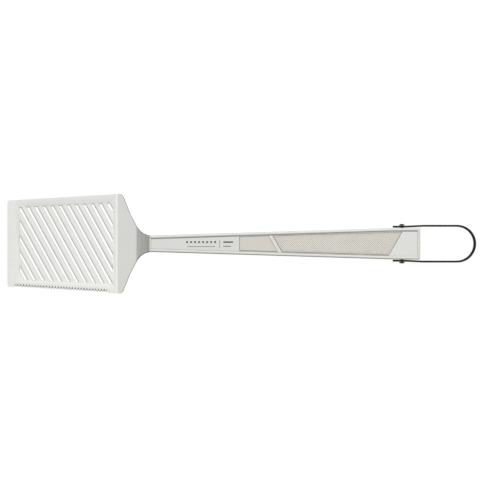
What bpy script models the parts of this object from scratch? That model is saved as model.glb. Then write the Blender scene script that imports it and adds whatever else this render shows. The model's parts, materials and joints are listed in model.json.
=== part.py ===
"""Grill spatula: a slotted, serrated steel blade whose tang is riveted into a hollow steel handle with
soft-grip inlays, and a leather hanging strap that swings on two screws at the butt.

It lies as it would on a table, on the blade's heel and the handle's butt. The blade points along -X, the
strap along +X, and +Z is up. Lengths are in metres. In the plan, x is measured from the blade's front edge;
the empty "spatula" moves the whole tool so that its middle is over the origin.
"""

import math

import bmesh
import bpy
from mathutils import Vector

# Clearance between pieces that touch, and how far cutters run past what they cut
GAP, CUT_PAST, HALF_REACH = 0.0003, 0.002, 0.03

# Blade, one pressed sheet with its neck and tang
SHEET = 0.0016
FRONT_HALF = 0.0433
HEEL_X, HEEL_BEND = 0.1089, 0.0008
REAR_X, REAR_HALF = 0.1141, 0.0503
WAIST_X, WAIST_HALF = 0.1224, 0.0295
NECK_X, NECK_HALF = 0.1338, 0.0083
MOUTH_X = 0.1439
TANG_LENGTH, TANG_HALF, TANG_CORNER = 0.062, 0.0062, 0.001
FRONT_CORNER, REAR_CORNER, WAIST_RADIUS, NECK_RADIUS = 0.002, 0.005, 0.040, 0.016
GRIND_LENGTH, GRIND_LIP = 0.0054, 0.0005

# Slots of the blade
SLOT_FIRST_X, SLOT_PITCH, SLOT_WIDTH = 0.01514, 0.00824, 0.0025
SLOT_ANGLE, SLOT_CORNER = math.radians(61.5), 0.0004
FIELD_FRONT, FIELD_REAR = 0.0122, 0.1048
FIELD_FRONT_HALF, FIELD_REAR_HALF = 0.0360, 0.0406

# Serrated left edge
TEETH_START, TEETH_END, TEETH_COUNT = 0.0072, 0.0991, 32
TEETH_RECESS, TEETH_DEPTH, TEETH_RUN_OUT = 0.0006, 0.0016, 0.0015
VALLEY_SHARE, TIP_SHARE = 0.05, 0.5

# Side view: the angle of each stretch of the sheet, positive where it climbs towards the handle
BLADE_TILT, SHOULDER_RISE, NECK_RISE = math.radians(-8), math.radians(22), math.radians(48)
SHOULDER_END, NECK_STEEP_X, NECK_TOP_X = 0.128, 0.1316, 0.1405
SWELL_X, SWELL_COUNT, SWELL_STEP = 0.1340, 8, 0.0001

# Handle, in its own frame: x from its mouth to its butt, z from its parting plane
HANDLE_LENGTH = 0.2688
MOUTH_HALF, LAND_HALF, BUTT_HALF = 0.0082, 0.0157, 0.0158
LAND_X = 0.242
PANEL_FRONT, PANEL_REAR = 0.0040, 0.0060
RIM_HEIGHT, RIM_FLAT, RIM_BEVEL, RIM_EDGE = 0.0012, 0.0017, 0.0012, 0.0008
# A half's lower and upper faces are further than this from the parting plane.
FACE_FROM = 0.0005
WALL = 0.001
BUTT_CORNER, PANEL_CORNER = 0.0018, 0.0004

# Grip pads
PAD_SLANT = math.radians(30)
PAD_PROUD, PAD_MARGIN, PAD_SETTLING = 0.0005, 0.0006, 8
WINDOW_LOW, WINDOW_HIGH = 0.0015, 0.012
FRONT_PAD_X = 0.088
RIB_FRONT_X, RIB_REAR_X = 0.1212, 0.1258
MAIN_PAD_END_X = 0.2438

# Tang rivets
RIVET_X = (0.014, 0.033, 0.052)
RIVET_RADIUS, RIVET_HEAD_RADIUS, RIVET_HEAD = 0.0020, 0.0034, 0.0008

# Hanging strap and its fasteners
PIVOT_X = 0.2510
STRAP_THICKNESS, STRAP_WIDTH = 0.0019, 0.010
STRAP_STUB, STRAP_NEAR, STRAP_FAR = 0.0092, 0.01702, 0.01793
STRAP_FLARE_START, STRAP_FLARE_END, STRAP_LEG = 0.002, 0.0215, 0.0553
STRAP_DROOP = math.radians(2.1)
STRAP_HOLE, STRAP_CORNER, BOW_STEPS = 0.0017, 0.0035, 20
BUSH_RADIUS, BUSH_BORE = 0.0030, 0.0017
SCREW_RADIUS, SCREW_LENGTH = 0.0014, 0.0090
DOME_RADIUS, DOME_HEIGHT = 0.0028, 0.0012
WASHER_RADIUS, WASHER_THICKNESS = 0.0029, 0.0004

PANEL_TAPER = (PANEL_REAR - PANEL_FRONT) / HANDLE_LENGTH
TAPER_ANGLE = math.atan(PANEL_TAPER)

STEEL = ("brushed_steel", (0.78, 0.78, 0.76), 0.32, 1.0)
GRIP = ("soft_grip", (0.60, 0.58, 0.54), 0.65, 0.0)
NYLON = ("core_nylon", (0.08, 0.08, 0.08), 0.55, 0.0)
BRONZE = ("dark_bronze", (0.12, 0.10, 0.08), 0.40, 1.0)
LEATHER = ("strap_leather", (0.045, 0.022, 0.014), 0.60, 0.0)


def clear_scene():
    for obj in list(bpy.data.objects):
        bpy.data.objects.remove(obj, do_unlink=True)


def new_collection(name, hidden=False):
    made = bpy.data.collections.new(name)
    bpy.context.scene.collection.children.link(made)
    made.hide_render = hidden
    return made


def material_of(finish):
    name, colour, roughness, metallic = finish
    found = bpy.data.materials.get(name)
    if found:
        return found
    made = bpy.data.materials.new(name)
    made.use_nodes = True
    shader = made.node_tree.nodes["Principled BSDF"]
    shader.inputs["Base Color"].default_value = (*colour, 1)
    shader.inputs["Roughness"].default_value = roughness
    shader.inputs["Metallic"].default_value = metallic
    made.diffuse_color = (*colour, 1)
    return made


def new_empty(name, parent, location=(0, 0, 0), rotation=(0, 0, 0)):
    made = bpy.data.objects.new(name, None)
    PARTS.objects.link(made)
    made.parent = parent
    made.location = location
    made.rotation_euler = rotation
    made.empty_display_size = 0.01
    return made


def add_node(obj, parent, finish):
    """Puts a finished object among the parts."""
    PARTS.objects.link(obj)
    obj.parent = parent
    obj.data.materials.append(material_of(finish))
    obj.data.shade_smooth()
    obj.data.set_sharp_from_angle(angle=math.radians(30))
    return obj


def cut(obj, cutter, parent):
    """Takes the cutter's shape out of the object."""
    CUTTERS.objects.link(cutter)
    cutter.parent = parent
    cutter.hide_render = True
    cutter.display_type = "WIRE"
    modifier = obj.modifiers.new(cutter.name, "BOOLEAN")
    modifier.operation = "DIFFERENCE"
    modifier.object = cutter
    modifier.solver = "EXACT"


def rounded(corners):
    """The closed outline through corners (x, y, radius), each corner rounded by an arc of its radius."""
    points = []
    for i, (x, y, radius) in enumerate(corners):
        corner = Vector((x, y))
        before = (Vector(corners[i - 1][:2]) - corner).normalized()
        after = (Vector(corners[(i + 1) % len(corners)][:2]) - corner).normalized()
        if radius == 0:
            points.append(corner)
            continue
        half = before.angle(after) / 2
        centre = corner + (before + after).normalized() * (radius / math.sin(half))
        start = corner + before * (radius / math.tan(half)) - centre
        end = corner + after * (radius / math.tan(half)) - centre
        turn = -start.angle_signed(end)
        steps = max(2, math.ceil(abs(turn) / math.radians(12)))
        for step in range(steps + 1):
            angle = math.atan2(start.y, start.x) + turn * step / steps
            points.append(centre + Vector((math.cos(angle), math.sin(angle))) * radius)
    return points


def offset(points, distance, closed=True):
    """The outline or path moved sideways, to its left as it runs."""
    moved = []
    for i, point in enumerate(points):
        before = points[i - 1] if closed or i else None
        after = points[(i + 1) % len(points)] if closed or i + 1 < len(points) else None
        incoming = (point - before).normalized() if before else (after - point).normalized()
        outgoing = (after - point).normalized() if after else incoming
        normals = [Vector((-run.y, run.x)) for run in (incoming, outgoing)]
        total = normals[0] + normals[1]
        moved.append(point + total * (distance / (1 + normals[0].dot(normals[1]))))
    return moved


def circle(x, y, radius, count=16):
    turns = [math.tau * step / count for step in range(count)]
    return [Vector((x + radius * math.cos(turn), y + radius * math.sin(turn))) for turn in turns]


def clipped(polygon, point, inward):
    """The part of a convex polygon on the inward side of the line through the point."""
    kept = []
    for a, b in zip(polygon, polygon[1:] + polygon[:1]):
        da, db = (a - point).dot(inward), (b - point).dot(inward)
        if da >= 0:
            kept.append(a)
        if (da >= 0) != (db >= 0):
            kept.append(a.lerp(b, da / (da - db)))
    return kept


def prism(name, outlines, low, high):
    """Flat outlines extruded from low to high."""
    curve = bpy.data.curves.new(name, "CURVE")
    curve.dimensions = "2D"
    curve.fill_mode = "BOTH"
    curve.extrude = (high - low) / 2
    for points in outlines:
        spline = curve.splines.new("POLY")
        spline.points.add(len(points) - 1)
        for slot, point in zip(spline.points, points):
            slot.co = (point.x, point.y, 0, 1)
        spline.use_cyclic_u = True
    guide = bpy.data.objects.new(name + "_outline", curve)
    bpy.context.scene.collection.objects.link(guide)
    graph = bpy.context.evaluated_depsgraph_get()
    mesh = bpy.data.meshes.new_from_object(guide.evaluated_get(graph))
    bpy.data.objects.remove(guide)
    bm = bmesh.new()
    bm.from_mesh(mesh)
    bmesh.ops.remove_doubles(bm, verts=bm.verts, dist=1e-6)
    bmesh.ops.translate(bm, verts=bm.verts, vec=(0, 0, (low + high) / 2))
    bmesh.ops.recalc_face_normals(bm, faces=bm.faces)
    bm.to_mesh(mesh)
    bm.free()
    mesh.name = name
    return bpy.data.objects.new(name, mesh)


def punched(name, plate, outlines):
    """The plate with every outline cut right through it, as a plain mesh."""
    punch = prism(plate.name + "_punch", outlines, -CUT_PAST, CUT_PAST)
    cut(plate, punch, None)
    PARTS.objects.link(plate)
    graph = bpy.context.evaluated_depsgraph_get()
    mesh = bpy.data.meshes.new_from_object(plate.evaluated_get(graph))
    for used in (plate, punch):
        bpy.data.objects.remove(used)
    return bpy.data.objects.new(name, mesh)


def turned(name, profile, closed=False, steps=20):
    """A profile of (radius, height) from top to bottom, turned about the Z axis."""
    mesh = bpy.data.meshes.new(name)
    edges = [(i, i + 1) for i in range(len(profile) - 1)]
    if closed:
        edges.append((len(profile) - 1, 0))
    mesh.from_pydata([(radius, 0, height) for radius, height in profile], edges, [])
    obj = bpy.data.objects.new(name, mesh)
    screw = obj.modifiers.new("turn", "SCREW")
    screw.steps = steps
    screw.render_steps = steps
    screw.use_merge_vertices = True
    screw.merge_threshold = 1e-5
    return obj


def taper(obj):
    """Spreads an object's upper and lower faces apart towards the butt, as the handle thickens."""
    for vertex in obj.data.vertices:
        if abs(vertex.co.z) > FACE_FROM:
            vertex.co.z += PANEL_TAPER * vertex.co.x * math.copysign(1, vertex.co.z)
    return obj


def panel_height(x):
    return PANEL_FRONT + PANEL_TAPER * x


def half_width(x):
    if x < LAND_X:
        return MOUTH_HALF + (LAND_HALF - MOUTH_HALF) * x / LAND_X
    return LAND_HALF + (BUTT_HALF - LAND_HALF) * (x - LAND_X) / (HANDLE_LENGTH - LAND_X)


def handle_outline(front, inset=0.0):
    """The handle's outline in plan, from x = front to the butt, moved in by the inset."""
    side = [(front, half_width(front)), (LAND_X, LAND_HALF), (HANDLE_LENGTH, BUTT_HALF)]
    sharp = [Vector((x, -y)) for x, y in side] + [Vector(point) for point in side[::-1]]
    radius = max(BUTT_CORNER - inset, PANEL_CORNER)
    radii = (0, 0, radius, radius, 0, 0)
    return rounded([(point.x, point.y, r) for point, r in zip(offset(sharp, inset), radii)])


def side_profile():
    """The sheet's middle line in side view, as (x, z) points from the front edge to the tang's end."""

    def bend(start, end, first, last, count):
        step = (end - start) / count
        angles = [first + (last - first) * (i + 0.5) / count for i in range(count)]
        return [(start + step * (i + 1), angle) for i, angle in enumerate(angles)]

    heel = (HEEL_X - HEEL_BEND, HEEL_X + HEEL_BEND)
    stretches = [(GRIND_LENGTH, BLADE_TILT), (heel[0], BLADE_TILT)]
    stretches += bend(*heel, BLADE_TILT, SHOULDER_RISE, 3)
    stretches += [(SHOULDER_END, SHOULDER_RISE)]
    stretches += bend(SHOULDER_END, NECK_STEEP_X, SHOULDER_RISE, NECK_RISE, 5)
    stretches += [(NECK_TOP_X, NECK_RISE)]
    stretches += bend(NECK_TOP_X, MOUTH_X - GAP, NECK_RISE, 0, 8)
    points = [(0.0, 0.0)]
    for end, angle in stretches:
        x, z = points[-1]
        points.append((end, z + (end - x) * math.tan(angle)))
    # The heel's underside stands on the floor.
    lowest = min(z for x, z in points) - SHEET / 2 / math.cos(BLADE_TILT / 2)
    return [(x, z - lowest) for x, z in points]


PROFILE = side_profile()
MOUTH_TOP = PROFILE[-1][1] + SHEET / 2
# The panel's top is one wall and one gap over the tang's top, and the butt's lower rim is on the floor.
HANDLE_Z = MOUTH_TOP + GAP + WALL - PANEL_FRONT
FOOT_X, FOOT_DEPTH = HANDLE_LENGTH - RIM_EDGE, PANEL_REAR + RIM_HEIGHT
HANDLE_SLOPE = math.asin(HANDLE_Z / math.hypot(FOOT_X, FOOT_DEPTH)) - math.atan2(FOOT_DEPTH, FOOT_X)
TANG_SLOPE = HANDLE_SLOPE - TAPER_ANGLE
TANG_X = MOUTH_X + TANG_LENGTH
PROFILE.append((TANG_X, PROFILE[-1][1] - (TANG_X - PROFILE[-1][0]) * math.tan(TANG_SLOPE)))


def blade_corners():
    """The blade's outline in plan, round from the front left corner, with the teeth on the left side."""

    def side(x):
        return FRONT_HALF + (REAR_HALF - FRONT_HALF) * x / REAR_X

    corners = [(0, -FRONT_HALF, FRONT_CORNER), (TEETH_START, -side(TEETH_START), 0)]
    pitch = (TEETH_END - TEETH_START) / TEETH_COUNT
    for tooth in range(TEETH_COUNT):
        x = TEETH_START + pitch * tooth
        corners.append((x + pitch * VALLEY_SHARE, TEETH_RECESS + TEETH_DEPTH - side(x), 0))
        corners.append((x + pitch * TIP_SHARE, TEETH_RECESS - side(x + pitch * TIP_SHARE), 0))
    run_out = TEETH_END + TEETH_RUN_OUT
    corners.append((TEETH_END, TEETH_RECESS + TEETH_DEPTH - side(TEETH_END), 0))
    corners.append((run_out, -side(run_out), 0))
    half = [
        (REAR_X, REAR_HALF, REAR_CORNER),
        (WAIST_X, WAIST_HALF, WAIST_RADIUS),
        (NECK_X, NECK_HALF, NECK_RADIUS),
        (MOUTH_X - GAP, NECK_HALF, 0),
        (MOUTH_X - GAP, TANG_HALF, 0),
        (TANG_X, TANG_HALF, TANG_CORNER),
    ]
    corners += [(x, -y, radius) for x, y, radius in half]
    corners += half[::-1]
    corners.append((0, FRONT_HALF, FRONT_CORNER))
    return corners


def slot_outlines():
    """Slanted slots, each cut off by the borders of the slotted field."""
    slope = (FIELD_REAR_HALF - FIELD_FRONT_HALF) / (FIELD_REAR - FIELD_FRONT)
    along = Vector((math.cos(SLOT_ANGLE), -math.sin(SLOT_ANGLE)))
    across = Vector((along.y, -along.x)) * (SLOT_WIDTH / 2)
    outlines = []
    for number in range(-2, 14):
        middle = Vector((SLOT_FIRST_X + SLOT_PITCH * number, 0))
        slot = [middle + along * s + across * t for s, t in ((-1, -1), (1, -1), (1, 1), (-1, 1))]
        slot = clipped(slot, Vector((FIELD_FRONT, 0)), Vector((1, 0)))
        slot = clipped(slot, Vector((FIELD_REAR, 0)), Vector((-1, 0)))
        for side in (-1, 1):
            slot = clipped(slot, Vector((FIELD_FRONT, side * FIELD_FRONT_HALF)), Vector((slope, -side)))
        outlines.append(rounded([(corner.x, corner.y, SLOT_CORNER) for corner in slot]))
    return outlines


def make_blade(parent):
    rivet_holes = [circle(MOUTH_X + x * math.cos(HANDLE_SLOPE), 0, RIVET_RADIUS + GAP) for x in RIVET_X]
    plate = prism("plate", [rounded(blade_corners())], -SHEET / 2, SHEET / 2)
    blade = punched("blade", plate, slot_outlines() + rivet_holes)
    bm = bmesh.new()
    bm.from_mesh(blade.data)
    bmesh.ops.remove_doubles(bm, verts=bm.verts, dist=1e-6)
    bmesh.ops.dissolve_limit(bm, angle_limit=0.001, verts=bm.verts, edges=bm.edges)
    swell_run = (MOUTH_X - GAP - SWELL_X) / SWELL_COUNT
    swell_steps = [SWELL_X + swell_run * step for step in range(SWELL_COUNT)]
    stations = [x for x, _ in PROFILE[1:-1]] + swell_steps + [MOUTH_X - GAP + SWELL_STEP]
    for x in sorted(stations):
        everything = bm.verts[:] + bm.edges[:] + bm.faces[:]
        bmesh.ops.bisect_plane(bm, geom=everything, dist=1e-7, plane_co=(x, 0, 0), plane_no=(1, 0, 0))
    for vertex in bm.verts:
        x, height = vertex.co.x, vertex.co.z
        if height > 0:
            height += swell(x) - (SHEET - GRIND_LIP) * max(0, 1 - x / GRIND_LENGTH)
        vertex.co = bent(x, vertex.co.y, height)
    bm.to_mesh(blade.data)
    bm.free()
    return add_node(blade, parent, STEEL)


def swell(x):
    """How far the neck is thickened on top, so that it meets the handle's panel flush at the mouth."""
    if x > MOUTH_X - GAP + SWELL_STEP / 2:
        return 0
    share = max(0, (x - SWELL_X) / (MOUTH_X - GAP - SWELL_X))
    return (WALL + GAP) * share * share * (3 - 2 * share)


def bent(x, y, height):
    """A point of the flat sheet, height above its middle, once the sheet follows the side profile."""
    last = len(PROFILE) - 2
    index = max(i for i in range(last + 1) if PROFILE[i][0] <= x + 1e-6 or i == 0)
    a, b = Vector(PROFILE[index]), Vector(PROFILE[index + 1])
    normal = Vector((a.y - b.y, b.x - a.x)).normalized()
    if abs(x - a.x) < 1e-6 and index > 0:
        earlier = Vector(PROFILE[index - 1])
        other = Vector((earlier.y - a.y, a.x - earlier.x)).normalized()
        normal = (normal + other) / (1 + normal.dot(other))
    z = a.y + (b.y - a.y) * (x - a.x) / (b.x - a.x)
    return Vector((x + normal.x * height, y, z + normal.y * height))


def pad_outline(front, rear, front_slant, rear_slant, margin):
    """A pad between two slanted ends, parallel to the handle's sides; front and rear are on its axis."""

    def corner(x, slant, side):
        # A few rounds settle the corner, because the handle's width depends on x.
        end = x
        for _ in range(PAD_SETTLING):
            y = side * (half_width(end) - RIM_EDGE - RIM_FLAT - RIM_BEVEL - PAD_MARGIN)
            end = x - y * math.tan(slant)
        return Vector((end, y))

    points = [
        corner(front, front_slant, -1),
        corner(rear, rear_slant, -1),
        corner(rear, rear_slant, 1),
        corner(front, front_slant, 1),
    ]
    return offset(points, -margin)


def pad_outlines(margin):
    return {
        "front": pad_outline(FRONT_PAD_X, RIB_FRONT_X, 0, PAD_SLANT, margin),
        "main": pad_outline(RIB_REAR_X, MAIN_PAD_END_X, PAD_SLANT, -PAD_SLANT, margin),
    }


def make_shell(name, parent, front):
    """Half of the handle: a pressed tray whose rims stand round a sunken panel with two pad windows.
    A front ahead of the mouth leaves the panel open there, where the blade's neck runs in."""
    top = PANEL_FRONT + RIM_HEIGHT
    steps = [
        (0, GAP / 2),
        (0, top - RIM_EDGE),
        (RIM_EDGE, top),
        (RIM_EDGE + RIM_FLAT, top),
        (RIM_EDGE + RIM_FLAT + RIM_BEVEL, PANEL_FRONT),
    ]
    bm = bmesh.new()
    loops = [[bm.verts.new((*p, z)) for p in handle_outline(front, inset)] for inset, z in steps]
    for low, high in zip(loops, loops[1:]):
        for i in range(len(low)):
            bm.faces.new((low[i - 1], low[i], high[i], high[i - 1]))
    for end in (loops[0], loops[-1]):
        bm.faces.new(end)
    if front < 0:
        everything = bm.verts[:] + bm.edges[:] + bm.faces[:]
        opened = bmesh.ops.bisect_plane(
            bm, geom=everything, plane_co=(0, 0, 0), plane_no=(-1, 0, 0), clear_outer=True
        )
        rim = [e for e in opened["geom_cut"] if isinstance(e, bmesh.types.BMEdge)]
        bmesh.ops.edgeloop_fill(bm, edges=rim)
    bmesh.ops.recalc_face_normals(bm, faces=bm.faces)
    mesh = bpy.data.meshes.new(name)
    bm.to_mesh(mesh)
    bm.free()
    shell = taper(bpy.data.objects.new(name, mesh))
    cavity = prism(name + "_cavity", [handle_outline(front, WALL)], -CUT_PAST, PANEL_FRONT - WALL)
    cut(shell, taper(cavity), parent)
    for label, outline in pad_outlines(GAP).items():
        window = prism(f"{name}_{label}_window", [outline], WINDOW_LOW, WINDOW_HIGH)
        cut(shell, window, parent)
    cut(shell, across(name + "_bush_notch"), parent)
    return add_node(shell, parent, STEEL)


def across(name):
    """A cutter that makes room for the bush, right across the handle at the pivot."""
    bar = turned(name, tube_end(BUSH_RADIUS + GAP, HALF_REACH))
    bar.location = (PIVOT_X, 0, 0)
    bar.rotation_euler = (math.pi / 2, 0, 0)
    return bar


def tube_end(radius, half):
    """The profile of a plain round bar, from its upper end to its lower end."""
    return [(0, half), (radius, half), (radius, -half), (0, -half)]


def make_core(parent):
    """The moulded filler that carries the tang, the rivets and the cross bush."""
    half = PANEL_FRONT - WALL - GAP
    core = taper(prism("handle_core", [handle_outline(0, WALL + GAP)], -half, half))
    end, side = TANG_LENGTH + GAP, TANG_HALF + GAP
    seat = [Vector(point) for point in ((-end, -side), (end, -side), (end, side), (-end, side))]
    cut(core, taper(prism("core_tang_seat", [seat], half - SHEET - GAP, half + CUT_PAST)), parent)
    for number, x in enumerate(RIVET_X):
        hole = turned(f"core_rivet_hole_{number}", rivet_profile(x, GAP))
        hole.location = (x, 0, 0)
        cut(core, hole, parent)
    cut(core, across("core_bush_bore"), parent)
    return add_node(core, parent, NYLON)


def rivet_profile(x, clearance=0.0):
    """A tang rivet: its pin ends flush with the tang, and its head lies in the core's lower face.
    With a clearance it is the hole for it, run on past both faces of the core."""
    pin, head = RIVET_RADIUS + clearance, RIVET_HEAD_RADIUS + clearance
    face = panel_height(x) - WALL - 2 * GAP
    past = CUT_PAST if clearance else 0
    step = RIVET_HEAD + clearance - face
    low = -face - past
    return [(0, face + past), (pin, face + past), (pin, step), (head, step), (head, low), (0, low)]


def make_pad(name, outline, parent):
    low = PANEL_FRONT - WALL
    pad = taper(prism(name, [outline], low, PANEL_FRONT + PAD_PROUD))
    bm = bmesh.new()
    bm.from_mesh(pad.data)
    bmesh.ops.dissolve_limit(bm, angle_limit=0.001, verts=bm.verts, edges=bm.edges)
    crown = max(bm.faces, key=lambda face: face.normal.z)
    bmesh.ops.bevel(bm, geom=list(crown.edges), offset=GAP, segments=1, affect="EDGES")
    bm.to_mesh(pad.data)
    bm.free()
    return add_node(pad, parent, GRIP)


def strap_path():
    """The strap's middle line in plan, from the pivot: stub, flared leg, round end, and back."""
    leg = [
        Vector((-STRAP_STUB, -STRAP_NEAR)),
        Vector((STRAP_FLARE_START, -STRAP_NEAR)),
        Vector((STRAP_FLARE_END, -STRAP_FAR)),
        Vector((STRAP_LEG, -STRAP_FAR)),
    ]
    turns = [math.pi * (step / BOW_STEPS - 0.5) for step in range(1, BOW_STEPS)]
    bow = [Vector((STRAP_LEG + STRAP_FAR * math.cos(t), STRAP_FAR * math.sin(t))) for t in turns]
    return leg + bow + [Vector((point.x, -point.y)) for point in reversed(leg)]


def make_strap(parent):
    path = strap_path()
    outline = offset(path, STRAP_THICKNESS / 2, False) + offset(path, -STRAP_THICKNESS / 2, False)[::-1]
    strap = prism("hanging_strap", [outline], -STRAP_WIDTH / 2, STRAP_WIDTH / 2)
    bm = bmesh.new()
    bm.from_mesh(strap.data)
    ends = [
        e
        for e in bm.edges
        if all(abs(v.co.x + STRAP_STUB) < 1e-5 for v in e.verts)
        and abs(e.verts[0].co.z - e.verts[1].co.z) < 1e-6
    ]
    bmesh.ops.bevel(bm, geom=ends, offset=STRAP_CORNER, segments=4, affect="EDGES", profile=0.5)
    bm.to_mesh(strap.data)
    bm.free()
    hole = turned("strap_holes", tube_end(STRAP_HOLE, HALF_REACH))
    hole.rotation_euler = (math.pi / 2, 0, 0)
    cut(strap, hole, parent)
    return add_node(strap, parent, LEATHER)


def make_loop_hardware(parent):
    """The cross bush, and on each side a washer and a dome-headed screw that the strap swings on."""
    half = half_width(PIVOT_X)
    ring = [(BUSH_RADIUS, half), (BUSH_RADIUS, -half), (BUSH_BORE, -half), (BUSH_BORE, half)]
    bush = add_node(turned("loop_bush", ring, closed=True), parent, STEEL)
    bush.location = (PIVOT_X, 0, 0)
    bush.rotation_euler = (math.pi / 2, 0, 0)
    seat = STRAP_NEAR + STRAP_THICKNESS / 2 + GAP / 2
    for label, side in (("right", 1), ("left", -1)):
        low, high = seat, seat + WASHER_THICKNESS
        washer = [(WASHER_RADIUS, high), (WASHER_RADIUS, low), (STRAP_HOLE, low), (STRAP_HOLE, high)]
        base = high + GAP / 2
        arc = [math.pi / 2 * step / 5 for step in range(6)]
        dome = [(DOME_RADIUS * math.sin(a), base + DOME_HEIGHT * math.cos(a)) for a in arc]
        dome[0] = (0, base + DOME_HEIGHT)
        tip = half - SCREW_LENGTH
        screw = dome + [(SCREW_RADIUS, base), (SCREW_RADIUS, tip), (0, tip)]
        for name, profile, closed in (("washer", washer, True), ("screw", screw, False)):
            piece = add_node(turned(f"loop_{name}_{label}", profile, closed), parent, BRONZE)
            piece.location = (PIVOT_X, 0, 0)
            piece.rotation_euler = (-side * math.pi / 2, 0, 0)


clear_scene()
PARTS = new_collection("grill_spatula")
CUTTERS = new_collection("cutters", hidden=True)

pivot = (MOUTH_X + PIVOT_X * math.cos(HANDLE_SLOPE), 0, HANDLE_Z - PIVOT_X * math.sin(HANDLE_SLOPE))
strap_reach = (STRAP_LEG + STRAP_FAR + STRAP_THICKNESS / 2) * math.cos(STRAP_DROOP)
rear_end = pivot[0] + strap_reach + STRAP_WIDTH / 2 * math.sin(STRAP_DROOP)
front_end = SHEET / 2 * math.sin(BLADE_TILT)
tool = new_empty("spatula", None, location=(-(front_end + rear_end) / 2, 0, 0))
handle = new_empty("handle_axis", tool, (MOUTH_X, 0, HANDLE_Z), (0, HANDLE_SLOPE, 0))
lower_side = new_empty("handle_lower_side", handle, rotation=(math.pi, 0, 0))
strap_hinge = new_empty("strap_hinge", tool, pivot, (0, STRAP_DROOP, 0))

make_blade(tool)
make_shell("handle_top_shell", handle, -HALF_REACH / 3)
make_shell("handle_bottom_shell", lower_side, 0)
make_core(handle)
for suffix, side in (("upper", handle), ("lower", lower_side)):
    for label, outline in pad_outlines(0).items():
        make_pad(f"{label}_pad_{suffix}", outline, side)
for number, x in enumerate(RIVET_X):
    rivet = add_node(turned(f"tang_rivet_{number + 1}", rivet_profile(x)), handle, STEEL)
    rivet.location = (x, 0, 0)
make_loop_hardware(handle)
make_strap(strap_hinge)
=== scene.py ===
import json
import math

import bpy
from mathutils import Matrix, Vector


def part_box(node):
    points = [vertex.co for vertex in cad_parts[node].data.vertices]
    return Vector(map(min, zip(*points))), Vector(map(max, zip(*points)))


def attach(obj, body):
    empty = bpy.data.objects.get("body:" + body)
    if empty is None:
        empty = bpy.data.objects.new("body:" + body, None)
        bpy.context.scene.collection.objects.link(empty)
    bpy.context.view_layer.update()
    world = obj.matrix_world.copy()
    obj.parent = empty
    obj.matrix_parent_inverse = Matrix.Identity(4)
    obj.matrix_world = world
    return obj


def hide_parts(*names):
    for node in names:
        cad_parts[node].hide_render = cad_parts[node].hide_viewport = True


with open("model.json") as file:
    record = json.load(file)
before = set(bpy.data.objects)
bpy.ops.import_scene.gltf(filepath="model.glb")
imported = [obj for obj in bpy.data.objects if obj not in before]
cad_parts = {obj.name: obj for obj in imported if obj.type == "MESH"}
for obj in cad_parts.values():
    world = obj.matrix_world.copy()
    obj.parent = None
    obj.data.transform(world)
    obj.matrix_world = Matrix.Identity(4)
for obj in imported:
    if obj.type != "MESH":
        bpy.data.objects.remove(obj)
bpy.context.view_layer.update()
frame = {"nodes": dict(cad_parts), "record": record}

mm = 0.001

# Lengths along the tool start at the blade's front edge, in the middle of its tilted sheet.
tool = {
    "front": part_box("blade")[0].x + 0.111 * mm,
    "bladeTilt": math.radians(8),
    "frontHeight": 16.022 * mm,
    "sheet": 1.6 * mm,
    "mouth": 143.9 * mm,
    "handleSlope": math.radians(2.8418),
    "mouthHeight": 20.478 * mm,
    "bladeEdge": 0.3 * mm,
    "mergeGap": 0.002 * mm,  # corners nearer than this are one
    "flatWithin": math.radians(0.4),
}


def along(s, y=0.0, z=0.0):
    # A place from its length along the tool, its side and its height, in millimetres.
    return Vector((tool["front"] + s * mm, y * mm, z * mm))


def deselect():
    if bpy.context.mode != "OBJECT":
        bpy.ops.object.mode_set(mode="OBJECT")
    bpy.ops.object.select_all(action="DESELECT")


def pick(piece):
    deselect()
    piece.select_set(True)
    bpy.context.view_layer.objects.active = piece
    return piece


def edit(piece, mode="FACE"):
    pick(piece)
    bpy.ops.object.mode_set(mode="EDIT")
    bpy.ops.mesh.select_mode(type=mode)
    bpy.ops.mesh.select_all(action="DESELECT")


def chosen(piece, test, kind="polygons"):
    # Selects what passes the test, by place or normal, and goes back to edit mode.
    bpy.ops.mesh.select_all(action="DESELECT")
    bpy.ops.object.mode_set(mode="OBJECT")
    found = 0
    for item in getattr(piece.data, kind):
        item.select = bool(test(item))
        found += item.select
    bpy.ops.object.mode_set(mode="EDIT")
    return found


def applyAll(piece):
    pick(piece)
    for modifier in list(piece.modifiers):
        bpy.ops.object.modifier_apply(modifier=modifier.name)
    return piece


def settle(piece):
    # The piece's place goes into its mesh.
    pick(piece)
    bpy.ops.object.transform_apply(location=True, rotation=True, scale=True)
    return piece


def mergedCopy(nodeName, pieceName):
    # A copy of a CAD node's mesh with its loose triangles joined into faces.
    piece = bpy.data.objects.new(pieceName, frame["nodes"][nodeName].data.copy())
    bpy.context.scene.collection.objects.link(piece)
    piece.data.materials.clear()
    edit(piece, "VERT")
    bpy.ops.mesh.select_all(action="SELECT")
    bpy.ops.mesh.customdata_custom_splitnormals_clear()
    bpy.ops.mesh.remove_doubles(threshold=tool["mergeGap"])
    bpy.ops.mesh.dissolve_limited(angle_limit=tool["flatWithin"])
    deselect()
    return piece


def softEdges(piece, width, angle=35):
    bevel = piece.modifiers.new("soft edges", "BEVEL")
    bevel.width = width
    bevel.segments = 2
    bevel.limit_method = "ANGLE"
    bevel.angle_limit = math.radians(angle)
    bevel.harden_normals = True
    bevel.loop_slide = False  # sliding tears the slotted sheet
    pick(piece)
    bpy.ops.object.shade_smooth()
    return applyAll(piece)


def cutBy(piece, cutter):
    boolean = piece.modifiers.new("cut", "BOOLEAN")
    boolean.operation = "DIFFERENCE"
    boolean.object = cutter
    boolean.solver = "EXACT"
    applyAll(piece)
    bpy.data.objects.remove(cutter)
    return piece


def painted(piece, finish):
    piece.data.materials.clear()
    piece.data.materials.append(finish)
    return piece


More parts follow.
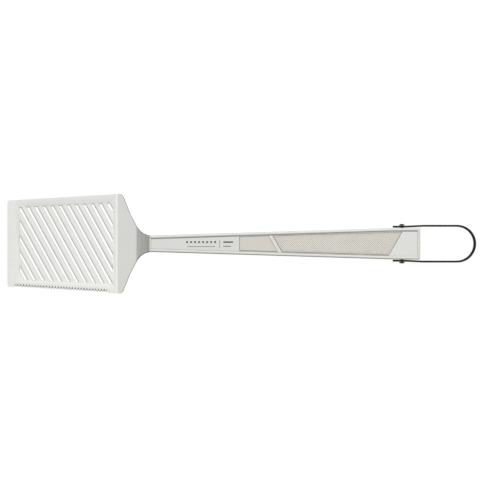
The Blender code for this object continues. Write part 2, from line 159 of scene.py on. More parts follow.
def finished(piece, body, finish, slotName, *nodes):
    if finish:
        painted(piece, finish)
    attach(piece, body)
    if nodes:
        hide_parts(*nodes)
    return piece


def plug(tree, target, value):
    if isinstance(value, Wire):
        tree.links.new(value.socket, target)
    elif hasattr(target.default_value, "__len__") and not hasattr(value, "__len__"):
        target.default_value = [value] * len(target.default_value)
    elif hasattr(value, "__len__") and len(target.default_value) == 4 and len(value) == 3:
        target.default_value = (*value, 1)
    else:
        target.default_value = value


class Wire:
    # One output socket. Arithmetic on it adds Math nodes.
    def __init__(self, tree, socket):
        self.tree = tree
        self.socket = socket

    def maths(self, operation, *values):
        node = self.tree.nodes.new("ShaderNodeMath")
        node.operation = operation
        for target, value in zip(node.inputs, values):
            plug(self.tree, target, value)
        return Wire(self.tree, node.outputs[0])

    def __add__(self, other):
        return self.maths("ADD", self, other)

    def __radd__(self, other):
        return self.maths("ADD", other, self)

    def __sub__(self, other):
        return self.maths("SUBTRACT", self, other)

    def __rsub__(self, other):
        return self.maths("SUBTRACT", other, self)

    def __mul__(self, other):
        return self.maths("MULTIPLY", self, other)

    def __rmul__(self, other):
        return self.maths("MULTIPLY", other, self)

    def size(self):
        return self.maths("ABSOLUTE", self)

    def held(self, low=0.0, high=1.0):
        return self.maths("MINIMUM", self.maths("MAXIMUM", self, low), high)

    def step(self, low, high):
        # 0 below low and 1 above high, with a straight run between.
        return ((self - low) * (1 / (high - low))).held()


class Works:
    # The nodes of one material or of the world.
    def __init__(self, owner):
        owner.use_nodes = True
        self.owner = owner
        self.tree = owner.node_tree
        self.tree.nodes.clear()

    def add(self, kind, settings=None, sockets=None, output=0):
        node = self.tree.nodes.new(kind)
        for key, value in (settings or {}).items():
            if key == "stops":
                ramp = node.color_ramp.elements
                while len(ramp) < len(value):
                    ramp.new(1)
                for element, (place, colour) in zip(ramp, value):
                    element.position = place
                    element.color = (*colour, 1)
            else:
                setattr(node, key, value)
        for key, value in (sockets or {}).items():
            plug(self.tree, node.inputs[key], value)
        return Wire(self.tree, node.outputs[output])

    def spot(self):
        return self.add("ShaderNodeTexCoord", output="Object")

    def place(self, stretch=(1, 1, 1), turn=(0, 0, 0)):
        return self.add(
            "ShaderNodeMapping",
            {"vector_type": "POINT"},
            {"Vector": self.spot(), "Rotation": turn, "Scale": stretch},
        )

    def noise(self, scale, stretch=(1, 1, 1), turn=(0, 0, 0), detail=3.0, rough=0.55):
        where = self.place(stretch, turn)
        return self.add(
            "ShaderNodeTexNoise",
            {"noise_dimensions": "3D"},
            {"Vector": where, "Scale": scale, "Detail": detail, "Roughness": rough},
        )

    def tint(self, factor, dark, pale):
        # Inputs 6 and 7 and output 2 are the node's colours.
        return self.add(
            "ShaderNodeMix",
            {"data_type": "RGBA", "blend_type": "MIX"},
            {"Factor": factor, 6: dark, 7: pale},
            2,
        )

    def bump(self, height, strength, depth):
        sockets = {"Height": height, "Strength": strength, "Distance": depth}
        return self.add("ShaderNodeBump", None, sockets)

    def surface(self, **sockets):
        named = {key.replace("_", " "): value for key, value in sockets.items()}
        shader = self.add("ShaderNodeBsdfPrincipled", None, named)
        output = self.tree.nodes.new("ShaderNodeOutputMaterial")
        self.tree.links.new(shader.socket, output.inputs["Surface"])
        return self.owner


print("frame loaded:", len(frame["nodes"]), "nodes")

look = {
    "distance": 4.0,
    "lens": 300.0,
    "sensor": 36.0,
    "farthest": 50.0,
    "middle": (-2.0 * mm, 3.7 * mm),
    "toolHeight": 15 * mm,
    "floorSize": 6.0,
    "floorDrop": 0.3 * mm,
}
cameraData = bpy.data.cameras.new("studioCamera")
cameraData.lens = look["lens"]
cameraData.sensor_width = look["sensor"]
cameraData.clip_end = look["farthest"]
camera = bpy.data.objects.new("studioCamera", cameraData)
camera.location = (*look["middle"], look["distance"] + look["toolHeight"])
bpy.context.scene.collection.objects.link(camera)
bpy.context.scene.camera = camera

deselect()
bpy.ops.mesh.primitive_plane_add(size=look["floorSize"], location=(0, 0, -look["floorDrop"]))
floor = bpy.context.object
floor.name = "floor"
floor.visible_glossy = False

light = {
    "keyPlace": (0.7, 1.1, 2.2),
    "keySize": 1.6,
    "keyPower": 14.0,
    "floorGrey": 0.15,
    "floorGlow": 0.92,
    "floorRoughness": 0.9,
}
keyData = bpy.data.lights.new("softKey", "AREA")
keyData.shape = "DISK"
keyData.size = light["keySize"]
keyData.energy = light["keyPower"]
key = bpy.data.objects.new("softKey", keyData)
key.location = light["keyPlace"]
key.visible_glossy = False
key.rotation_euler = Vector(light["keyPlace"]).to_track_quat("Z", "Y").to_euler()
bpy.context.scene.collection.objects.link(key)

works = Works(bpy.data.materials.new("palePaper"))
floor.data.materials.append(
    works.surface(
        Base_Color=[light["floorGrey"]] * 3,
        Roughness=light["floorRoughness"],
        Specular_IOR_Level=0.0,
        Emission_Color=(1, 1, 1),
        Emission_Strength=light["floorGlow"],
    )
)

sky = {
    "brighterRight": 0.6,  # how much brighter the room is towards +Y
    "brighterBehind": 0.35,  # and, low down, towards +X
    "greys": (  # how bright it is from straight down, -1, to straight up, 1
        (-1.0, 0.16),
        (-0.1, 0.30),
        (0.0, 0.44),
        (0.5, 0.76),
        (0.72, 0.97),
        (0.96, 0.97),
        (1.0, 1.03),
    ),
}
world = bpy.data.worlds.new("softStudio")
bpy.context.scene.world = world
works = Works(world)
direction = works.add("ShaderNodeTexCoord", output="Generated")
upwards = works.add("ShaderNodeSeparateXYZ", None, {"Vector": direction}, "Z")
rightwards = works.add("ShaderNodeSeparateXYZ", None, {"Vector": direction}, "Y")
backwards = works.add("ShaderNodeSeparateXYZ", None, {"Vector": direction}, "X")
sideways = rightwards * sky["brighterRight"] + backwards * (1.0 - upwards) * sky["brighterBehind"]
stops = [((height + 1) / 2, (grey, grey, grey)) for height, grey in sky["greys"]]
glow = works.add("ShaderNodeValToRGB", {"stops": stops}, {"Fac": upwards * 0.5 + 0.5})
shaded = works.add(
    "ShaderNodeVectorMath", {"operation": "SCALE"}, {0: glow, "Scale": sideways + 1.0}, "Vector"
)
background = works.add("ShaderNodeBackground", None, {"Color": shaded, "Strength": 1.0})
worldOutput = world.node_tree.nodes.new("ShaderNodeOutputWorld")
world.node_tree.links.new(background.socket, worldOutput.inputs["Surface"])
bpy.context.scene.view_settings.view_transform = "Standard"

print("camera, floor and light set")

steel = {
    "dark": (0.70, 0.70, 0.67),
    "pale": (0.94, 0.94, 0.905),
    # from here to there the steel is painted paler, as painted light along the tool
    "paintedLightAlong": (along(60).x, along(410).x),
    "hairlineShare": 0.4,  # how much of the tone comes from each
    "cloudShare": 0.25,
    "speckShare": 0.15,
    "paintedLightShare": 0.3,
    "clouds": 28.0,
    "specks": 2600.0,
    "roughness": 0.33,
    "glossVaries": 0.16,
    "hairlineStrength": 0.10,
    "hairlineDepth": 0.04 * mm,
    "bladeHairlines": (10, 1500, 10),
    "handleHairlines": (10, 1500, 1500),
    "handleTone": 0.86,
}


def brushedSteel(name, turn, stretch, tone, paintedLight=None):
    # Hairlines along the tool, broad clouding, painted light that grows paler along the tool towards
    # the butt, and a little unevenness in the gloss.
    works = Works(bpy.data.materials.new(name))
    hairlines = works.noise(1.0, stretch, (0, turn, 0), 4.0, 0.6)
    clouds = works.noise(steel["clouds"])
    specks = works.noise(steel["specks"], detail=2.0)
    spotX = works.add("ShaderNodeSeparateXYZ", None, {"Vector": works.spot()}, "X")
    mixed = hairlines * steel["hairlineShare"] + clouds * steel["cloudShare"]
    mixed = mixed + specks * steel["speckShare"]
    # Painted light: the steel is painted paler from the blade towards the butt, standing in for the
    # light falling off along the tool.
    mixed = mixed + spotX.step(*steel["paintedLightAlong"]) * steel["paintedLightShare"]
    dark = tuple(value * tone for value in steel["dark"])
    pale = tuple(value * tone for value in steel["pale"])
    colour = works.tint(mixed.held(), dark, pale)
    if paintedLight:
        # Painted highlight: a pale line is painted along the fold, with a painted shade line just in
        # front of it.
        fold = 1.0 - (spotX - paintedLight["fold"]).size() * (1 / paintedLight["halfWidth"])
        shade = 1.0 - (spotX - paintedLight["fold"] + paintedLight["shadeAhead"]).size() * (1 / paintedLight["halfWidth"])
        colour = works.tint(shade.held() * paintedLight["shadeShare"], colour, dark)
        colour = works.tint(fold.held(), colour, paintedLight["bright"])
        # Painted shade: the bent neck is painted darker than the flat sheet.
        neckShadeMask = spotX.step(*paintedLight["neckFrom"]) - spotX.step(*paintedLight["neckTo"])
        paintedNeckShade = tuple(value * paintedLight["neckShadeTone"] for value in steel["dark"])
        colour = works.tint(neckShadeMask.held() * paintedLight["neckShadeShare"], colour, paintedNeckShade)
    return works.surface(
        Base_Color=colour,
        Metallic=1.0,
        Roughness=steel["roughness"] - steel["glossVaries"] / 2 + hairlines * steel["glossVaries"],
        Normal=works.bump(hairlines, steel["hairlineStrength"], steel["hairlineDepth"]),
    )


# Where the blade's painted highlight and shade lie: a pale line at the fold, a shade line ahead of
# it, and a darker neck.
bladePaintedLight = {
    "fold": along(108.9).x,
    "halfWidth": 1.1 * mm,
    "shadeAhead": 2.6 * mm,
    "shadeShare": 0.5,
    "neckFrom": (along(128.5).x, along(133.5).x),
    "neckTo": (along(141).x, along(144).x),
    # how dark, and how strongly, the neck's painted shade is
    "neckShadeTone": 0.62,
    "neckShadeShare": 0.4,
    # the colour of the painted highlight at the fold
    "bright": (0.93, 0.93, 0.90),
}
bladeSteel = brushedSteel("bladeSteel", 0, steel["bladeHairlines"], 1.0, bladePaintedLight)
handleSteel = brushedSteel(
    "handleSteel", tool["handleSlope"], steel["handleHairlines"], steel["handleTone"]
)

rubber = {
    "dark": (0.56, 0.54, 0.49),
    "pale": (0.66, 0.64, 0.585),
    "grain": 2200.0,
    "clouds": 35.0,
    "roughness": 0.55,
    "grainRoughness": 0.2,
    "grainStrength": 0.35,
    "grainDepth": 0.06 * mm,
    # Painted light: the dots are painted paler, as if lit on their crowns, and the ground between
    # them darker, as painted shade.
    "litDotTone": 1.15,
    "shadedGroundTone": 0.92,
}


def softGrip(name, tone):
    works = Works(bpy.data.materials.new(name))
    grain = works.noise(rubber["grain"])
    clouds = works.noise(rubber["clouds"], detail=2.0)
    clouding = (grain * 0.5 + clouds * 0.5).held()
    dark = tuple(value * tone for value in rubber["dark"])
    pale = tuple(value * tone for value in rubber["pale"])
    return works.surface(
        Base_Color=works.tint(clouding, dark, pale),
        Roughness=rubber["roughness"] + grain * rubber["grainRoughness"],
        Normal=works.bump(grain, rubber["grainStrength"], rubber["grainDepth"]),
    )


hide = {
    "dark": (0.006, 0.004, 0.003),
    "pale": (0.032, 0.017, 0.011),
    "grain": 1500.0,
    "creases": 420.0,
    "clouds": 60.0,
    "roughness": 0.55,
    "creaseRoughness": 0.22,
    "shine": 0.22,
    "grainStrength": 0.5,
    "grainDepth": 0.12 * mm,
}


def strapLeather():
    works = Works(bpy.data.materials.new("strapLeather"))
    grain = works.add(
        "ShaderNodeTexVoronoi", {"feature": "F1"}, {"Vector": works.place(), "Scale": hide["grain"]}
    )
    creases = works.noise(hide["creases"], detail=4.0, rough=0.65)
    clouds = works.noise(hide["clouds"])
    clouding = (clouds * 0.6 + creases * 0.4).held()
    return works.surface(
        Base_Color=works.tint(clouding, hide["dark"], hide["pale"]),
        Roughness=hide["roughness"] + creases * hide["creaseRoughness"],
        Specular_IOR_Level=hide["shine"],
        Normal=works.bump(grain * 0.6 + creases * 0.6, hide["grainStrength"], hide["grainDepth"]),
    )


bronze = {
    "dark": (0.07, 0.058, 0.048),
    "pale": (0.24, 0.21, 0.18),
    "clouds": 260.0,
    "scratches": 900.0,
    "roughness": 0.28,
    "scratchRoughness": 0.2,
    "scratchStrength": 0.12,
    "scratchDepth": 0.03 * mm,
}


def darkBronze():
    works = Works(bpy.data.materials.new("darkBronze"))
    clouds = works.noise(bronze["clouds"])
    scratches = works.noise(bronze["scratches"], detail=4.0, rough=0.7)
    clouding = (clouds * 0.5 + scratches * 0.5).held()
    return works.surface(
        Base_Color=works.tint(clouding, bronze["dark"], bronze["pale"]),
        Metallic=1.0,
        Roughness=bronze["roughness"] + scratches * bronze["scratchRoughness"],
        Normal=works.bump(scratches, bronze["scratchStrength"], bronze["scratchDepth"]),
    )


black = {
    "grain": 1800.0,
    "roughness": 0.5,
    "grainRoughness": 0.2,
    "grainStrength": 0.3,
    "nylon": ((0.018, 0.018, 0.018), (0.04, 0.04, 0.04), 0.0, 0.05 * mm),
    "etched": ((0.07, 0.07, 0.068), (0.16, 0.16, 0.15), 0.6, 0.03 * mm),
}


def mattBlack(name, dark, pale, metal, depth):
    works = Works(bpy.data.materials.new(name))
    grain = works.noise(black["grain"])
    return works.surface(
        Base_Color=works.tint(grain, dark, pale),
        Metallic=metal,
        Roughness=black["roughness"] + grain * black["grainRoughness"],
        Normal=works.bump(grain, black["grainStrength"], depth),
    )


gripFinish = softGrip("softGrip", 1.0)
# Lit and shaded copies of the grip finish: painted highlight on the dots, painted shade on the ground
# between them.
litDotFinish = softGrip("softGripLitDots", rubber["litDotTone"])
shadedGroundFinish = softGrip("softGripShadedGround", rubber["shadedGroundTone"])
leatherFinish = strapLeather()
bronzeFinish = darkBronze()
nylonFinish = mattBlack("coreNylon", *black["nylon"])
markFinish = mattBlack("etchedMark", *black["etched"])
print("finishes made")

teeth = {
    "start": 7.2,  # along the tool, in millimetres
    "end": 99.1,
    "count": 32,
    "sideFront": 43.3,  # half width of the blade at its front and rear edge
    "sideRear": 50.3,
    "rearX": 114.1,
    "groundTop": 4.3,  # how far in from the side each groove starts, on top and underneath
    "groundUnder": 2.3,
    "tipIn": 0.6,
    "combWidth": 16.0,
    "combHeight": 9.0,
}


def groundTeeth(sheet):
    # One comb of V-shaped ridges, laid along the edge and tipped outwards, grinds all the teeth.
    run = teeth["groundTop"] - teeth["groundUnder"]
    tip = math.atan2(tool["sheet"] / mm, run)
    ridge = (teeth["groundTop"] - teeth["tipIn"]) * math.sin(tip)
    taper = math.atan2(teeth["sideRear"] - teeth["sideFront"], teeth["rearX"])
    length = (teeth["end"] - teeth["start"]) / math.cos(taper) / math.cos(tool["bladeTilt"])
    deselect()
    bpy.ops.mesh.primitive_grid_add(x_subdivisions=2 * teeth["count"], y_subdivisions=1, size=1)
    comb = bpy.context.object
    comb.name = "groundTeethComb"
    comb.data.transform(Matrix.Diagonal((length * mm, teeth["combWidth"] * mm, 1, 1)))
    edit(comb, "VERT")
    step = length * mm / (2 * teeth["count"])
    chosen(comb, lambda v: round((v.co.x + length * mm / 2) / step) % 2 == 1, "vertices")
    bpy.ops.transform.translate(value=(0, 0, ridge * mm))
    bpy.ops.mesh.select_all(action="SELECT")
    up = (0, 0, teeth["combHeight"] * mm)
    bpy.ops.mesh.extrude_region_move(TRANSFORM_OT_translate={"value": up})
    bpy.ops.mesh.select_all(action="SELECT")
    bpy.ops.mesh.normals_make_consistent(inside=False)
    bpy.ops.object.mode_set(mode="OBJECT")
    # The comb's own Y runs inwards and up the groove; its middle goes to the groove's upper end.
    middle = (teeth["start"] + teeth["end"]) / 2
    half = teeth["sideFront"] + (teeth["sideRear"] - teeth["sideFront"]) * middle / teeth["rearX"]
    onTop = Matrix.Translation((0, (teeth["groundTop"] - half) * mm, tool["sheet"] / 2))
    tipped = onTop @ Matrix.Rotation(-taper, 4, "Z") @ Matrix.Rotation(tip, 4, "X")
    middleHeight = tool["frontHeight"] - middle * mm * math.tan(tool["bladeTilt"])
    atMiddle = Matrix.Translation(along(middle, 0, middleHeight / mm))
    comb.matrix_world = atMiddle @ Matrix.Rotation(tool["bladeTilt"], 4, "Y") @ tipped
    settle(comb)
    return cutBy(sheet, comb)


slots = {
    "front": 12.2,
    "rear": 104.8,
    "half": 41.0,  # the slotted field lies within this half width
    "rolledTop": 0.8 * mm,
    "rolledUnder": 0.4 * mm,
    "near": 0.1,
    "flatFacing": 0.99,  # how squarely a face looks up or down to count as flat
    "wallFacing": 0.1,
}


def rollSlotEdges(sheet):
    # The slots' edges are rolled over, more on top than underneath.
    tilt = Vector((math.sin(tool["bladeTilt"]), 0, math.cos(tool["bladeTilt"])))
    low = along(slots["front"] - slots["near"]).x
    high = along(slots["rear"] + slots["near"]).x
    for side, width in ((1, slots["rolledTop"]), (-1, slots["rolledUnder"])):
        edit(sheet, "EDGE")
        mesh = sheet.data
        flat = set()
        walls = set()
        for face in mesh.polygons:
            facing = face.normal.dot(tilt) * side
            keys = {tuple(sorted(key)) for key in face.edge_keys}
            if facing > slots["flatFacing"]:
                flat |= keys
            elif abs(facing) < slots["wallFacing"]:
                walls |= keys

        def onSlot(edge):
            ends = [mesh.vertices[i].co for i in edge.vertices]
            inside = all(low < end.x < high and abs(end.y) < slots["half"] * mm for end in ends)
            return inside and edge.key in flat and edge.key in walls

        print("slot edges:", chosen(sheet, onSlot, "edges"))
        bpy.ops.mesh.bevel(offset=width, segments=3, profile=0.5, loop_slide=False)
        deselect()
    return sheet


neck = {
    "swellStart": 134.0,  # the CAD sheet thickens on top from here to the mouth
    "hollowStart": 138.8,  # and here only from this far along, which leaves a hollower sweep
    "mouth": 143.6,
    "swell": 1.3,
    "upward": 0.3,
}


def hollowNeck(sheet):
    # The neck's top is let down between its foot and the mouth, and meets the handle as before.
    def swollen(s, start):
        share = min(1.0, max(0.0, (s - start) / (neck["mouth"] - start)))
        return neck["swell"] * share * share * (3 - 2 * share)

    edit(sheet, "VERT")
    mesh = sheet.data
    first, last = (along(neck[end]).x for end in ("swellStart", "mouth"))
    upper = {i for face in mesh.polygons if face.normal.z > neck["upward"] for i in face.vertices}
    reaches = [mesh.vertices[i].co.x for i in upper]
    places = {round(reach, 6) for reach in reaches if first < reach < last}
    for place in sorted(places):
        s = (place - tool["front"]) / mm
        drop = swollen(s, neck["swellStart"]) - swollen(s, neck["hollowStart"])
        chosen(sheet, lambda v: v.index in upper and round(v.co.x, 6) == place, "vertices")
        bpy.ops.transform.translate(value=(0, 0, -drop * mm))
    deselect()
    return sheet


blade = mergedCopy("blade", "blade_sheet")
hollowNeck(blade)
rollSlotEdges(blade)
groundTeeth(blade)
softEdges(blade, tool["bladeEdge"], 50)
finished(blade, "spatula", bladeSteel, "brushed_steel", "blade")
print("blade made")

handle = {
    "length": 268.8 * mm,
    "panel": 4.0 * mm,  # over the parting plane at the mouth
    "rimTop": (4.0 + 1.2) * mm,
    "taper": 2.0 / 268.8,
    "mouthHalf": 8.2 * mm,
    "landHalf": 15.7 * mm,
    "land": 242.0 * mm,
    "beadRound": 0.82 * mm,
    "shoulderIn": 1.5 * mm,
    "shoulderDrop": 0.12 * mm,
    "lipRun": 4.2 * mm,  # the butt's rim is narrower inside than the side rims
    "lipShift": 1.0 * mm,
    "mouthShift": 0.28 * mm,
    "edge": 0.12 * mm,
    "near": 0.05 * mm,
    "mouthNear": 0.02 * mm,
    "levelWithin": 0.1 * mm,
}


def inHandle(point):
    # A place in the handle's own frame: x from the mouth, z from the parting plane.
    moved = point - along(tool["mouth"] / mm, 0, tool["mouthHeight"] / mm)
    return Matrix.Rotation(-tool["handleSlope"], 3, "Y") @ moved


def standsOver(spot, level):
    # How far a place stands over the panel or the rims, which rise along the handle.
    return abs(spot.z) - handle[level] - handle["taper"] * spot.x


def dropShoulder(shell, up):
    # The rims' crests lean outwards: their outer edge is let down a little.
    edit(shell, "VERT")

    def onShoulder(vertex):
        spot = inHandle(vertex.co)
        if abs(standsOver(spot, "rimTop")) > handle["near"]:
            return False
        widening = (handle["landHalf"] - handle["mouthHalf"]) * min(1.0, spot.x / handle["land"])
        beside = abs(spot.y) > handle["mouthHalf"] + widening - handle["shoulderIn"]
        return beside or spot.x > handle["length"] - handle["shoulderIn"]

    print("shoulder corners:", chosen(shell, onShoulder, "vertices"))
    bpy.ops.transform.translate(value=(0, 0, -up * handle["shoulderDrop"]))
    deselect()
    return shell


def beadRims(shell):
    # The pressed rims get a round crest.
    edit(shell, "EDGE")
    places = {v.index: inHandle(v.co) for v in shell.data.vertices}

    def onCrest(edge):
        heights = [standsOver(places[i], "rimTop") for i in edge.vertices]
        lowest = -handle["shoulderDrop"] - handle["near"]
        onTop = all(lowest < height < handle["near"] for height in heights)
        return onTop and abs(heights[0] - heights[1]) < handle["levelWithin"]

    print("crest edges:", chosen(shell, onCrest, "edges"))
    bpy.ops.mesh.bevel(offset=handle["beadRound"], segments=4, profile=0.5, clamp_overlap=True)
    deselect()
    return shell


def narrowButtRim(shell):
    # The foot of the butt rim's inner slope moves towards the butt, so that the slope stands up.
    edit(shell, "VERT")

    def onFoot(vertex):
        spot = inHandle(vertex.co)
        onPanel = abs(standsOver(spot, "panel")) < handle["near"]
        return onPanel and spot.x > handle["length"] - handle["lipRun"]

    print("butt rim corners:", chosen(shell, onFoot, "vertices"))
    bpy.ops.transform.translate(value=(handle["lipShift"], 0, 0))
    deselect()
    return shell


def closeMouth(shell):
    # The top tray's mouth runs forward to meet the neck.
    edit(shell, "VERT")
    chosen(shell, lambda vertex: abs(inHandle(vertex.co).x) < handle["mouthNear"], "vertices")
    bpy.ops.transform.translate(value=(-handle["mouthShift"], 0, 0))
    deselect()
    return shell


for side in ("top", "bottom"):
    shell = mergedCopy(f"handle_{side}_shell", f"handle_{side}_tray")
    narrowButtRim(shell)
    if side == "top":
        closeMouth(shell)
    dropShoulder(shell, 1 if side == "top" else -1)
    beadRims(shell)
    softEdges(shell, handle["edge"], 38)
    finished(shell, "spatula", handleSteel, "brushed_steel", f"handle_{side}_shell")
print("shells made")

horn = {
    "start": 145.2,  # inside the handle's mouth, in millimetres along the tool
    "end": 135.6,
    "steps": 12,
    "halfWidth": 1.75,
    "standsMouth": 1.1,  # how far the crest stands over the neck at the mouth
    "hump": 3.2,
    "sunk": 0.8,
    "thinnest": 0.12,
    "neckRadius": 16.0,
    "neckCentre": (143.36, 24.3),
    "edgeIn": 0.15,
    "narrowing": 0.8,
    "readBefore": 0.5,  # the neck's height is read no nearer to the mouth than this
}


def neckEdge(s):
    # The neck's half width: straight at the mouth, then a round sweep out to the blade.
    reach = max(0.0, horn["neckCentre"][0] - s)
    return horn["neckCentre"][1] - math.sqrt(horn["neckRadius"] ** 2 - reach**2)


def surfaceHeight(piece, s, y):
    # The height of a piece's top, met by a ray from a metre up.
    place = along(s, y)
    spot = piece.ray_cast(Vector((place.x, place.y, 1.0)), Vector((0, 0, -1)))[1]
    return spot.z / mm


def hornPath(side):
    stations = []
    mouth = tool["mouth"] / mm
    for step in range(horn["steps"] + 1):
        share = step / horn["steps"]
        s = horn["start"] + (horn["end"] - horn["start"]) * share
        width = horn["halfWidth"] * max(horn["thinnest"], (1 - share) ** horn["narrowing"])
        y = side * (neckEdge(s) - horn["edgeIn"] - width)
        gone = max(0.0, (mouth - s) / (mouth - horn["end"]))
        stands = (1 - gone) * (horn["standsMouth"] + horn["hump"] * gone)
        height = (stands + horn["sunk"]) / 2
        z = surfaceHeight(blade, min(s, mouth - horn["readBefore"]), y) + stands - height
        stations.append((along(s, y, z), width, height))
    return stations


def neckHorn(name, side):
    # A rim's front end: an oval section carried forward along the neck's edge to a thin tip.
    stations = hornPath(side)
    first, width, height = stations[0]
    deselect()
    bpy.ops.mesh.primitive_circle_add(
        vertices=12, radius=mm, fill_type="NGON", location=first, rotation=(0, math.pi / 2, 0)
    )
    piece = bpy.context.object
    piece.name = name
    edit(piece)
    bpy.ops.mesh.select_all(action="SELECT")
    bpy.ops.transform.resize(value=(1, width, height), center_override=first)
    for before, after in zip(stations, stations[1:]):
        bpy.ops.mesh.extrude_region_move(TRANSFORM_OT_translate={"value": after[0] - before[0]})
        ratios = (1, after[1] / before[1], after[2] / before[2])
        bpy.ops.transform.resize(value=ratios, center_override=after[0])
    bpy.ops.mesh.select_all(action="SELECT")
    bpy.ops.mesh.normals_make_consistent(inside=False)
    bpy.ops.object.mode_set(mode="OBJECT")
    settle(piece)
    rounder = piece.modifiers.new("rounder", "SUBSURF")
    rounder.levels = 2
    rounder.render_levels = 2
    applyAll(piece)
    bpy.ops.object.shade_smooth()
    return finished(piece, "spatula", handleSteel, "brushed_steel")


bpy.context.view_layer.update()
for name, side in (("neck_horn_left", -1), ("neck_horn_right", 1)):
    neckHorn(name, side)
print("neck horns made")

marks = {
    "thick": 0.12,
    "proud": 0.04,
    "dots": 8,
    "dotRadius": 1.05,
    "dotFrom": 179.6,  # along the tool, in millimetres
    "dotTo": 207.6,
    "dotSide": 1.6,
    "bars": (  # along the tool, to the side, length and width of each bar
        (193.6, -2.9, 28.0, 0.5),
        (212.0, -0.3, 0.4, 8.0),
        (220.6, 1.6, 9.6, 1.5),
        (219.6, -2.6, 7.6, 0.8),
    ),
    "edge": 0.02 * mm,
}


def panelMarks(name, panel):
    # Plain etched dots and bars on the front of the panel, blackened, each a hair proud of the steel.
    tilt = tool["handleSlope"] - math.atan(handle["taper"])
    lift = marks["proud"] - marks["thick"] / 2
    gap = (marks["dotTo"] - marks["dotFrom"]) / (marks["dots"] - 1)
    spots = [(marks["dotFrom"] + gap * i, marks["dotSide"], 0, 0) for i in range(marks["dots"])]
    made = []
    for s, y, length, width in spots + list(marks["bars"]):
        place = along(s, y, surfaceHeight(panel, s, y) + lift)
        deselect()
        if length:
            bpy.ops.mesh.primitive_cube_add(size=1, location=place, rotation=(0, tilt, 0))
            bpy.context.object.scale = (length * mm, width * mm, marks["thick"] * mm)
        else:
            bpy.ops.mesh.primitive_cylinder_add(
                vertices=20,
                radius=marks["dotRadius"] * mm,
                depth=marks["thick"] * mm,
                location=place,
                rotation=(0, tilt, 0),
            )
        made.append(settle(bpy.context.object))
    pick(made[0])
    for mark in made[1:]:
        mark.select_set(True)
    bpy.ops.object.join()
    piece = bpy.context.object
    piece.name = name
    softEdges(piece, marks["edge"])
    return finished(piece, "spatula", markFinish, "brushed_steel")


bpy.context.view_layer.update()
panelMarks("panel_marks", bpy.data.objects["handle_top_tray"])
print("panel marks made")

grip = {
    "edge": 0.2 * mm,
    "dotPitch": 2.0 * mm,
    "dotRadius": 0.68 * mm,
    "dotHeight": 0.3 * mm,
    "dotSunk": 0.05 * mm,
    "dotMargin": 1.3 * mm,
    "dotRounds": ((0.5, 0.95), (0.35, 0.78), (0.15, 0.45)),  # share of the height, and narrowing
}


def gripDots(name, crown, middle, facing):
    # One round-topped dot, repeated in two staggered grids over the pad's crown.
    sideways = Vector((0, 1, 0))
    lengthways = sideways.cross(facing).normalized()
    turn = Matrix((lengthways, sideways, facing)).transposed().to_4x4()
    toPlane = (Matrix.Translation(middle) @ turn).inverted()
    corners = [toPlane @ corner for corner in crown]
    spread = [max(abs(corner[i]) for corner in corners) for i in (0, 1)]
    columns, rows = (math.ceil(2 * reach / grip["dotPitch"]) for reach in spread)
    deselect()
    bpy.ops.mesh.primitive_circle_add(vertices=8, radius=grip["dotRadius"], fill_type="NGON")
    dots = bpy.context.object
    dots.name = name
    edit(dots)
    bpy.ops.mesh.select_all(action="SELECT")
    for rise, narrow in grip["dotRounds"]:
        lift = (0, 0, rise * (grip["dotHeight"] + grip["dotSunk"]))
        bpy.ops.mesh.extrude_region_move(TRANSFORM_OT_translate={"value": lift})
        bpy.ops.transform.resize(value=(narrow, narrow, 1))
    bpy.ops.mesh.select_all(action="SELECT")
    bpy.ops.mesh.normals_make_consistent(inside=False)
    corner = (-columns / 2 * grip["dotPitch"], -rows / 2 * grip["dotPitch"], -grip["dotSunk"])
    bpy.ops.transform.translate(value=corner)
    bpy.ops.object.mode_set(mode="OBJECT")
    for axis, count in ((0, columns), (1, rows)):
        array = dots.modifiers.new("grid", "ARRAY")
        array.count = count + 1
        array.use_relative_offset = False
        array.use_constant_offset = True
        array.constant_offset_displace = [grip["dotPitch"] if i == axis else 0 for i in range(3)]
    applyAll(dots)
    edit(dots)
    bpy.ops.mesh.select_all(action="SELECT")
    half = grip["dotPitch"] / 2
    bpy.ops.mesh.duplicate_move(TRANSFORM_OT_translate={"value": (half, half, 0)})
    edges = list(zip(corners, corners[1:] + corners[:1]))
    winding = sum(a.x * b.y - b.x * a.y for a, b in edges)

    def inward(a, b, x, y):
        return ((b.x - a.x) * (y - a.y) - (b.y - a.y) * (x - a.x)) * winding > 0

    def outside(vertex):
        # Each corner is judged by the nearest grid point, so dots on the border may lose a part.
        x, y = (round(vertex.co[i] / half - corner[i] / half) * half + corner[i] for i in (0, 1))
        clear = []
        for a, b in edges:
            run = (b - a).normalized()
            clear.append(abs(run.x * (y - a.y) - run.y * (x - a.x)) if inward(a, b, x, y) else -1)
        return min(clear) < grip["dotMargin"]

    edit(dots, "VERT")
    chosen(dots, outside, "vertices")
    bpy.ops.mesh.delete(type="VERT")
    bpy.ops.object.mode_set(mode="OBJECT")
    dots.matrix_world = Matrix.Translation(middle) @ turn
    bpy.context.view_layer.update()
    settle(dots)
    bpy.ops.object.shade_smooth()
    return dots


for label in ("front", "main"):
    for level in ("upper", "lower"):
        pad = mergedCopy(f"{label}_pad_{level}", f"{label}_grip_{level}")
        up = 1 if level == "upper" else -1
        top = max(pad.data.polygons, key=lambda face: face.normal.z * up * face.area)
        crown = [pad.data.vertices[i].co.copy() for i in top.vertices]
        middle, facing = top.center.copy(), top.normal.copy()
        softEdges(pad, grip["edge"], 25)
        painted(pad, gripFinish)
        if label == "main":
            dots = gripDots(f"grip_dots_{level}", crown, middle, facing)
            # The dots take the painted-light copy, the pad under them the painted-shade copy.
            painted(dots, litDotFinish)
            painted(pad, shadedGroundFinish)
            pick(pad)
            dots.select_set(True)
            bpy.ops.object.join()
        finished(pad, "spatula", None, "soft_grip", f"{label}_pad_{level}")
print("pads made")

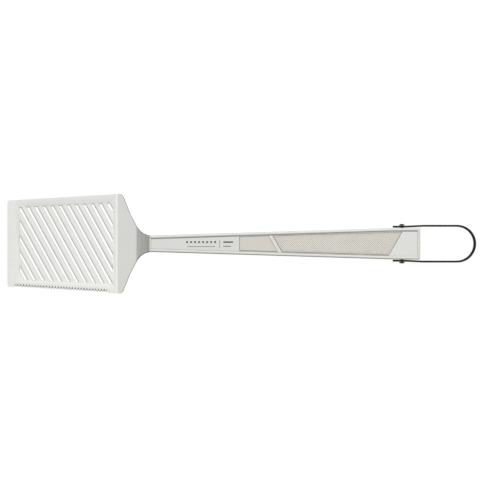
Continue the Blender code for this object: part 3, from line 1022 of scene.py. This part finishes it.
leather = {
    "droop": math.radians(2.1),
    "width": 10.0 * mm,
    "edge": 0.22 * mm,
    "creaseIn": 1.5 * mm,  # from the strap's edge to the tooled crease
    "creaseWidth": 0.5 * mm,
    "creaseDepth": 0.14 * mm,
    "creaseLip": 0.0001 * mm,
}


def toolCreases(piece, pivot):
    # A crease is pressed along each edge, on the outside and on the inside of the strap.
    across = Matrix.Rotation(leather["droop"], 3, "Y") @ Vector((0, 0, 1))
    outer = leather["width"] / 2 - leather["creaseIn"]
    inner = outer - leather["creaseWidth"]
    for height in (-outer, -inner, inner, outer):
        edit(piece)
        bpy.ops.mesh.select_all(action="SELECT")
        bpy.ops.mesh.bisect(plane_co=pivot + across * height, plane_no=across)
    edit(piece)

    def onCrease(face):
        height = abs((face.center - pivot).dot(across))
        return inner < height < outer and abs(face.normal.dot(across)) < 0.5

    print("crease faces:", chosen(piece, onCrease))
    bpy.ops.mesh.inset(thickness=leather["creaseLip"], use_even_offset=True)
    bpy.ops.transform.shrink_fatten(value=-leather["creaseDepth"])
    deselect()
    return piece


joint = frame["record"]["behaviour"]["joints"][0]
pivot = Vector(joint["pos_m"])
strap = mergedCopy("hanging_strap", "leather_loop")
toolCreases(strap, pivot)
softEdges(strap, leather["edge"], 40)
finished(strap, "loop", leatherFinish, "strap_leather", "hanging_strap")

screw = {
    "slotWidth": 0.7 * mm,
    "slotDepth": 0.55 * mm,
    "slotTurn": math.radians(35),
    "barLength": 8 * mm,
    "edge": 0.08 * mm,
}


def slottedScrew(node, name, side):
    # The dome head gets a driver's slot, cut by a short bar with eased corners.
    piece = mergedCopy(node, name)
    low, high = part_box(node)
    face = high.y if side > 0 else low.y
    deselect()
    bpy.ops.mesh.primitive_cube_add(
        size=1,
        location=(pivot.x, face, pivot.z),
        rotation=(0, screw["slotTurn"], 0),
        scale=(screw["barLength"], 2 * screw["slotDepth"], screw["slotWidth"]),
    )
    bar = settle(bpy.context.object)
    cutBy(piece, bar)
    softEdges(piece, screw["edge"], 40)
    return finished(piece, "spatula", bronzeFinish, "dark_bronze", node)


slottedScrew("loop_screw_left", "left_dome_screw", -1)
slottedScrew("loop_screw_right", "right_dome_screw", 1)

carriedOver = {
    "handle_core": nylonFinish,
    "loop_bush": handleSteel,
    "tang_rivet_1": handleSteel,
    "tang_rivet_2": handleSteel,
    "tang_rivet_3": handleSteel,
    "loop_washer_left": bronzeFinish,
    "loop_washer_right": bronzeFinish,
}
for nodeName, finish in carriedOver.items():
    node = frame["nodes"][nodeName]
    node.data.materials.clear()
    node.data.materials.append(finish)
print("strap and fasteners made")

deselect()
